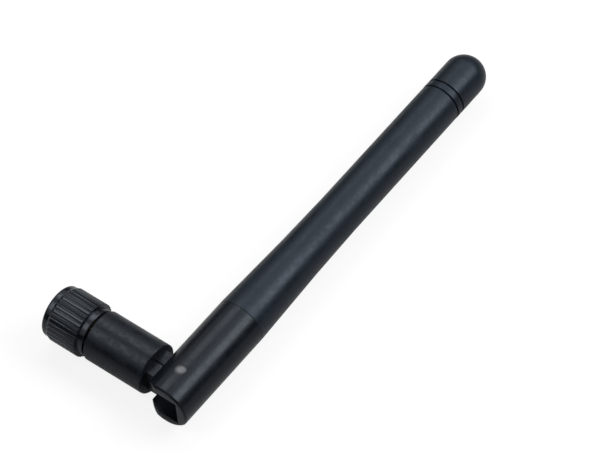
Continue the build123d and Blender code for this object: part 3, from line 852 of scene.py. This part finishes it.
# %% Grip blank
grip_low, grip_high = extent("nut_grip")
KNURL_RADIUS = 5.00
KNURL_GROOVES = 36
GROOVE_RADIUS = 0.24
GROOVE_DEPTH = 0.23
KNURL_TURN = radians(-3.4)
KNURL_CHAMFER = 0.40
RIM_RADIUS = 4.75
RIM_LENGTH = 1.20
RIM_ROUND = 0.50
COLLAR_RADIUS = 4.35
COLLAR_LENGTH = 1.20
COLLAR_ROUND = 0.20
NUT_BORE = 2.61
NUT_SEAT = 3.97
GRIP_MOUTH = 3.45
GRIP_SOFT_EDGE = 0.045
nut_low, nut_high = extent("coupling_nut")
nut_front = -nut_high.y
nut_end = -nut_low.y
rim_front = -grip_high.y
rim_end = rim_front + RIM_LENGTH
collar_end = -grip_low.y
knurl_end = collar_end - COLLAR_LENGTH
grip = turned(PLUG, [
    (rim_front, GRIP_MOUTH, SOFT_EDGE),
    (rim_front, RIM_RADIUS, RIM_ROUND),
    (rim_end, RIM_RADIUS, SOFT_EDGE),
    (rim_end + KNURL_CHAMFER, KNURL_RADIUS, 0.10),
    (knurl_end, KNURL_RADIUS, SOFT_EDGE),
    (knurl_end, COLLAR_RADIUS, SOFT_EDGE),
    (collar_end, COLLAR_RADIUS, COLLAR_ROUND),
    (collar_end, NUT_BORE),
    (nut_end, NUT_BORE),
    (nut_end, NUT_SEAT),
    (nut_front, NUT_SEAT),
    (nut_front, GRIP_MOUTH),
], steps=216)
print("grip from", round(rim_front, 2), "to", round(collar_end, 2))

# %% Knurl
CUTTER_LEAD = 0.1
knurl = bmesh.new()
reach = KNURL_RADIUS + GROOVE_RADIUS - GROOVE_DEPTH
for k in range(KNURL_GROOVES):
    angle = KNURL_TURN + 2 * pi * k / KNURL_GROOVES
    start = (reach * cos(angle), CUTTER_LEAD - rim_end, reach * sin(angle))
    tool = rod(GROOVE_RADIUS, start, (0, -1, 0), knurl_end - rim_end + CUTTER_LEAD, 20)
    mesh = bpy.data.meshes.new("groove")
    tool.to_mesh(mesh)
    tool.free()
    knurl.from_mesh(mesh)
    bpy.data.meshes.remove(mesh)
grip = combine(grip, knurl, "DIFFERENCE")
print("softened edges", soften(grip, GRIP_SOFT_EDGE, sharpest=30))
finish_piece(grip, "knurled_grip", "nut", "grip_plastic", ["nut_grip"])

# %% [markdown]
# ## The coupling nut and its thread
#
# Inside the grip is a hexagonal brass nut with a quarter-inch thread of 36 turns to the inch. The
# thread is one ridge that winds round the bore. Its section is a small trapezium, swept by the
# spin operator with a push along the axis at every step, which is exactly what a screw is.

# %% Nut body
THREAD_PITCH = 25.4 / 36
THREAD_MAJOR = 3.175
THREAD_CREST = 2.84
THREAD_LENGTH = 3.20
CHAMBER = 3.02
RING_PLAY = 0.10
HALF_FLATS = 3.6
SEAT_GAP = 0.01
LEAD_IN = 0.10
LEAD_IN_LENGTH = 0.12
ring_low, ring_high = extent("nut_snap_ring")
nut_shoulder = RING_PLAY - ring_low.y
nut = turned(PLUG, [
    (nut_front, THREAD_MAJOR + LEAD_IN, 0.05),
    (nut_front, NUT_SEAT - SEAT_GAP, 0.10),
    (nut_end, NUT_SEAT - SEAT_GAP, 0.10),
    (nut_end, NUT_BORE),
    (nut_shoulder, NUT_BORE),
    (nut_shoulder, CHAMBER),
    (THREAD_LENGTH, CHAMBER),
    (THREAD_LENGTH, THREAD_MAJOR),
    (nut_front + LEAD_IN_LENGTH, THREAD_MAJOR),
], steps=96)
hexagon = bmesh.new()
corner_radius = HALF_FLATS / cos(pi / 6)
bmesh.ops.create_cone(
    hexagon, cap_ends=True, segments=6, radius1=corner_radius, radius2=corner_radius, depth=30,
    matrix=Matrix.Rotation(pi / 2, 4, "X"),
)
nut = combine(nut, hexagon, "INTERSECT")
soften(nut, 0.05)
finish_piece(nut, "hexagon_nut", "nut", "plated_brass", ["coupling_nut"])

# %% Thread ridge
STEPS_PER_TURN = 72
TURNS_LEFT_OUT = 0.62
INTO_THE_NUT = 0.03
turns = THREAD_LENGTH / THREAD_PITCH - TURNS_LEFT_OUT
ridge = bmesh.new()
ridge_foot = THREAD_MAJOR + INTO_THE_NUT
section = [(0.04, ridge_foot), (0.27, THREAD_CREST), (0.43, THREAD_CREST), (0.66, ridge_foot)]
corners = [ridge.verts.new(Vector((r, -y, 0))) for y, r in section]
ridge.faces.new(corners)
bmesh.ops.spin(
    ridge, geom=ridge.verts[:] + ridge.edges[:] + ridge.faces[:], cent=(0, 0, 0), axis=(0, -1, 0),
    dvec=(0, -THREAD_PITCH / STEPS_PER_TURN, 0), angle=2 * pi * turns,
    steps=round(STEPS_PER_TURN * turns),
)
bmesh.ops.recalc_face_normals(ridge, faces=ridge.faces[:])
finish_piece(ridge, "nut_thread", "nut", "plated_brass", sharp=30.0)

# %% [markdown]
# ## What shows in the nut's mouth
#
# Looking into the nut you see the connector body's short sleeve, a white insulator and, in its
# middle, the slotted gold socket that makes this the reverse-polarity kind. A soft gasket lies at
# the foot of the sleeve.

# %% Connector body, gasket and insulator
SLEEVE_BORE = 2.05
SLEEVE_RADIUS = 2.28
SLEEVE_LENGTH = 0.90
BODY_RADIUS = 2.88
RING_FLOOR = 2.30
NECK_RADIUS = 2.55
FLANGE_RADIUS = 3.20
FLANGE_THICK = 0.70
POST_RADIUS = 1.25
POST_BORE = 0.70
SOLDER_ROOM_RADIUS = 1.20
INSULATOR_LENGTH = 3.80
INSULATOR_FACE = 3.70
INSULATOR_END = 7.50
GASKET_FRONT = 4.10
GASKET_BACK = 4.60
GASKET_BORE = 2.31
CONTACT_RADIUS = 0.635
RING_GAP = 0.05
BUSH_GAP = 0.10
body_low, body_high = extent("connector_body")
face = -body_high.y
post_end = -body_low.y
ring_groove = -ring_high.y - RING_GAP
ring_groove_end = RING_GAP - ring_low.y
flange = BUSH_GAP - extent("swivel_bush")[0].y
solder_room = -extent("coax_core")[0].y
body_shape = turned(PLUG, [
    (face, SLEEVE_BORE, 0.04),
    (face, SLEEVE_RADIUS, 0.06),
    (face + SLEEVE_LENGTH, SLEEVE_RADIUS),
    (face + SLEEVE_LENGTH, BODY_RADIUS, 0.08),
    (ring_groove, BODY_RADIUS, 0.05),
    (ring_groove, RING_FLOOR),
    (ring_groove_end, RING_FLOOR),
    (ring_groove_end, NECK_RADIUS),
    (flange, NECK_RADIUS),
    (flange, FLANGE_RADIUS, 0.05),
    (flange + FLANGE_THICK, FLANGE_RADIUS, 0.05),
    (flange + FLANGE_THICK, POST_RADIUS),
    (post_end, POST_RADIUS),
    (post_end, POST_BORE),
    (solder_room, POST_BORE),
    (solder_room, SOLDER_ROOM_RADIUS),
    (face + INSULATOR_LENGTH, SOLDER_ROOM_RADIUS),
    (face + INSULATOR_LENGTH, SLEEVE_BORE),
], steps=96)
finish_piece(body_shape, "turned_body", "connector", "plated_brass", ["connector_body"])
gasket = turned(PLUG, [
    (GASKET_FRONT, GASKET_BORE, 0.12),
    (GASKET_FRONT, BODY_RADIUS, 0.16),
    (GASKET_BACK, BODY_RADIUS, 0.05),
    (GASKET_BACK, GASKET_BORE, 0.05),
])
finish_piece(gasket, "soft_gasket", "connector", "gasket_rubber", ["sealing_gasket"])
insulator = turned(PLUG, [
    (INSULATOR_FACE, CONTACT_RADIUS, 0.05),
    (INSULATOR_FACE, SLEEVE_BORE, 0.05),
    (INSULATOR_END, SLEEVE_BORE),
    (INSULATOR_END, CONTACT_RADIUS),
], steps=96)
finish_piece(insulator, "white_insulator", "connector", "insulator_white", ["contact_insulator"])

# %% Slotted centre contact
CONTACT_FRONT = 3.75
CONTACT_END = 8.30
SOCKET_RADIUS = 0.475
SOCKET_END = 6.35
CUP_RADIUS = 0.27
contact = turned(PLUG, [
    (CONTACT_FRONT, SOCKET_RADIUS, 0.05),
    (CONTACT_FRONT, CONTACT_RADIUS, 0.05),
    (CONTACT_END, CONTACT_RADIUS, 0.05),
    (CONTACT_END, CUP_RADIUS),
    (INSULATOR_END, CUP_RADIUS),
    (INSULATOR_END, 0),
    (SOCKET_END, 0),
    (SOCKET_END, SOCKET_RADIUS),
], steps=64, closed=False)
SAW_SIZE = (1.6, 2.2, 0.16, 1)
SAW_MIDDLE = 0.9
for turn in (0, pi / 2):
    blade_saw = bmesh.new()
    bmesh.ops.create_cube(
        blade_saw, size=1.0, matrix=Matrix.Rotation(turn, 4, "Y")
        @ Matrix.Translation((0, -CONTACT_FRONT - SAW_MIDDLE, 0)) @ Matrix.Diagonal(SAW_SIZE),
    )
    contact = combine(contact, blade_saw, "DIFFERENCE")
soften(contact, 0.015)
finish_piece(contact, "slotted_contact", "connector", "contact_gold", ["centre_contact"])

# %% [markdown]
# ## The cable in the hinge
#
# A thin coaxial cable crosses the hinge in the middle of the tang, and it has to bend as the blade
# tilts. Its short stretch is a ring swept through a quarter turn, and it is tied to neither body.

# %% Bending stretch of cable
bend_high = extent("coax_hinge")[1]
CABLE_RADIUS = 0.685
bend_radius = -(pivot.y) - (-bend_high.y)
cable = bmesh.new()
bmesh.ops.create_circle(
    cable, cap_ends=False, segments=24, radius=CABLE_RADIUS,
    matrix=Matrix.Translation((0, bend_high.y, 0)) @ Matrix.Rotation(pi / 2, 4, "X"),
)
bmesh.ops.spin(
    cable, geom=cable.verts[:] + cable.edges[:], cent=(bend_radius, bend_high.y, 0), axis=(0, 0, 1),
    angle=pi / 2, steps=24,
)
bmesh.ops.holes_fill(cable, edges=[edge for edge in cable.edges if edge.is_boundary], sides=0)
bmesh.ops.recalc_face_normals(cable, faces=cable.faces[:])
bend = finish_piece(cable, "bending_cable", None, "cable_jacket", ["coax_hinge"])
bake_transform(bend)
print("cable bend radius", round(bend_radius, 2))

# %% [markdown]
# ## Floor, background and light
#
# The antenna lies on a pale table. Camera, glossy and transmission rays find a white surround,
# and other rays find a soft ambient light, so the white never adds light to the object. The
# table's own white is mixed with its lit surface, which keeps the soft shadow.

# %% White for the rays that look, and soft light for the rest
def seen_directly(tree, in_gloss=1.0):
    """1 for camera and transmission rays, in_gloss for glossy rays, 0 for the rest."""
    path = tree.nodes.new("ShaderNodeLightPath")
    gloss = maths(tree, "MULTIPLY", path.outputs["Is Glossy Ray"], in_gloss)
    some = maths(tree, "MAXIMUM", path.outputs["Is Camera Ray"], gloss)
    return maths(tree, "MAXIMUM", some, path.outputs["Is Transmission Ray"])


world = bpy.data.worlds.new("studio")
bpy.context.scene.world = world
world.use_nodes = True
sky = world.node_tree
background = sky.nodes["Background"]
background.inputs["Color"].default_value = (1.0, 1.0, 1.0, 1.0)
AMBIENT = 0.15
lit = seen_directly(sky)
strength = maths(sky, "MULTIPLY_ADD", lit, 1.0 - AMBIENT, AMBIENT)
sky.links.new(strength, background.inputs["Strength"])

IN_GLOSS = 0.2
SELF_LIT = 0.74
GLOW = 1.15
TABLE_WHITE = 0.66
TABLE_SIZE = 3.0
TABLE_GAP = 0.00002
floor_mesh = bmesh.new()
bmesh.ops.create_grid(floor_mesh, x_segments=1, y_segments=1, size=TABLE_SIZE)
bmesh.ops.translate(floor_mesh, vec=(0, 0, cad_box[0].z - TABLE_GAP), verts=floor_mesh.verts[:])
floor = to_object(floor_mesh, "table")
table_top = bpy.data.materials.new("table_top")
table_top.use_nodes = True
tree = table_top.node_tree
diffuse = tree.nodes.new("ShaderNodeBsdfDiffuse")
diffuse.inputs["Color"].default_value = (TABLE_WHITE, TABLE_WHITE, TABLE_WHITE, 1.0)
glow = tree.nodes.new("ShaderNodeEmission")
glow.inputs["Strength"].default_value = GLOW
mix = tree.nodes.new("ShaderNodeMixShader")
tree.links.new(maths(tree, "MULTIPLY", seen_directly(tree, IN_GLOSS), SELF_LIT), mix.inputs["Fac"])
tree.links.new(diffuse.outputs["BSDF"], mix.inputs[1])
tree.links.new(glow.outputs["Emission"], mix.inputs[2])
tree.links.new(mix.outputs["Shader"], tree.nodes["Material Output"].inputs["Surface"])
floor.data.materials.append(table_top)

# %% [markdown]
# A black piece is shaped by what it reflects. In a studio, black cards stand round such a piece, so
# that its sides end in a dark band. This low ring does that: only glossy rays meet it.

# %% Black cards round the table
CARD_RADIUS = 0.90
CARD_HEIGHT = 0.38
card_ring = bmesh.new()
bmesh.ops.create_circle(card_ring, cap_ends=False, segments=48, radius=CARD_RADIUS)
raised = bmesh.ops.extrude_edge_only(card_ring, edges=card_ring.edges[:])
bmesh.ops.translate(card_ring, vec=(0, 0, CARD_HEIGHT),
                    verts=[part for part in raised["geom"] if isinstance(part, bmesh.types.BMVert)])
bmesh.ops.translate(card_ring, vec=(0, 0, cad_box[0].z), verts=card_ring.verts[:])
cards = to_object(card_ring, "black_cards")
card_black = bpy.data.materials.new("card_black")
card_black.use_nodes = True
card_shader = card_black.node_tree.nodes["Principled BSDF"]
card_shader.inputs["Base Color"].default_value = (0.02, 0.02, 0.02, 1.0)
card_shader.inputs["Roughness"].default_value = 0.9
cards.data.materials.append(card_black)
cards.visible_camera = False
cards.visible_diffuse = False
cards.visible_shadow = False
cards.visible_transmission = False

# %% [markdown]
# Four soft boxes light the piece from high up, all round the viewer. Each is large and close, so it
# draws a broad, soft band along the round barrels, and the cards make the dark band below it.

# %% Soft boxes
middle = (cad_box[0] + cad_box[1]) / 2
LAMP_DISTANCE = 0.75
LAMP_SIZE = 0.40
for name, turn, height, power in (
    ("key_box", 309, 42, 3.1),
    ("right_box", 345, 52, 1.2),
    ("top_box", 45, 59, 1.3),
    ("left_box", 135, 52, 1.2),
):
    direction = Vector((cos(radians(height)) * cos(radians(turn)),
                        cos(radians(height)) * sin(radians(turn)), sin(radians(height))))
    lamp = bpy.data.lights.new(name, "AREA")
    lamp.shape = "DISK"
    lamp.size = LAMP_SIZE
    lamp.energy = power
    holder = bpy.data.objects.new(name, lamp)
    bpy.context.scene.collection.objects.link(holder)
    holder.location = middle + direction * LAMP_DISTANCE
    holder.rotation_mode = "QUATERNION"
    holder.rotation_quaternion = direction.to_track_quat("Z", "Y")
    holder.visible_camera = False
print("lamps", len(bpy.data.lights))

# %% [markdown]
# ## Camera
#
# The viewer looks down at the antenna from the outer corner of the bend, through a long lens that
# keeps the two cylinders almost parallel-sided, with the horizon tipped by a few degrees.

# %% Camera
FOCAL_LENGTH = 189.92
SENSOR_WIDTH = 36.0
TIP = radians(-4.502)
lens = bpy.data.cameras.new("viewer")
lens.lens = FOCAL_LENGTH
lens.sensor_width = SENSOR_WIDTH
lens.clip_start = 0.01
viewer = bpy.data.objects.new("viewer", lens)
bpy.context.scene.collection.objects.link(viewer)
place = Vector((-0.208116, -0.232119, 0.428431))
aim = Vector((0.036342, -0.022641, 0.0))
viewer.location = place
viewer.rotation_mode = "QUATERNION"
tip = Matrix.Rotation(TIP, 3, "Z")
upright = (aim - place).to_track_quat("-Z", "Y").to_matrix()
viewer.rotation_quaternion = (upright @ tip).to_quaternion()
bpy.context.scene.camera = viewer
bpy.context.scene.view_settings.view_transform = "Standard"

# %% Count the pieces made
import json

print("pieces made", len(made))
